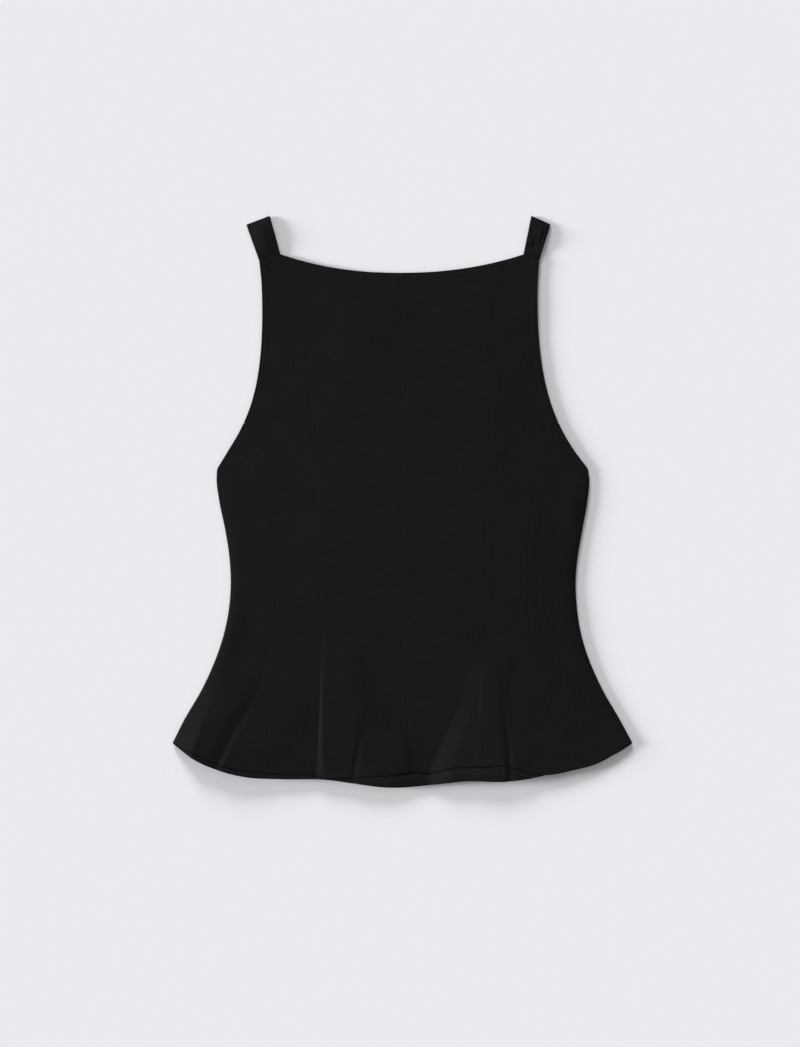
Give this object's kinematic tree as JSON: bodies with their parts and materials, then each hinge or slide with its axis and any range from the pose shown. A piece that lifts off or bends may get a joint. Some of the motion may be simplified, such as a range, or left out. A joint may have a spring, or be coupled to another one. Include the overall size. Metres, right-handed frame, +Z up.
{
  "type": "shoulder-strap peplum top",
  "caption": "Sleeveless panelled top of matt black crepe with a scooped neckline, short wide shoulder straps and a fluted peplum hem, laid flat.",
  "frame": {"origin": "on the surface the top lies on, under the middle of its bounding box", "axes": "+X to the viewer's right across the front, +Y from the hem towards the straps, +Z up off the surface, out of the front"},
  "size_m": [0.505, 0.6278, 0.0096],
  "materials": {
    "front_side_left": "matt crepe",
    "front_middle_left": "matt crepe",
    "front_centre_left": "matt crepe",
    "front_centre_right": "matt crepe",
    "front_middle_right": "matt crepe",
    "front_side_right": "matt crepe",
    "back_side_left": "matt crepe",
    "back_centre": "matt crepe",
    "back_side_right": "matt crepe",
    "strap_left": "matt crepe",
    "strap_right": "matt crepe"
  },
  "bodies": {
    "root": {"front_side_left": "front_side_left", "front_middle_left": "front_middle_left", "front_centre_left": "front_centre_left", "front_centre_right": "front_centre_right", "front_middle_right": "front_middle_right", "front_side_right": "front_side_right", "back_side_left": "back_side_left", "back_centre": "back_centre", "back_side_right": "back_side_right", "strap_left": "strap_left", "strap_right": "strap_right"}
  },
  "joints": []
}
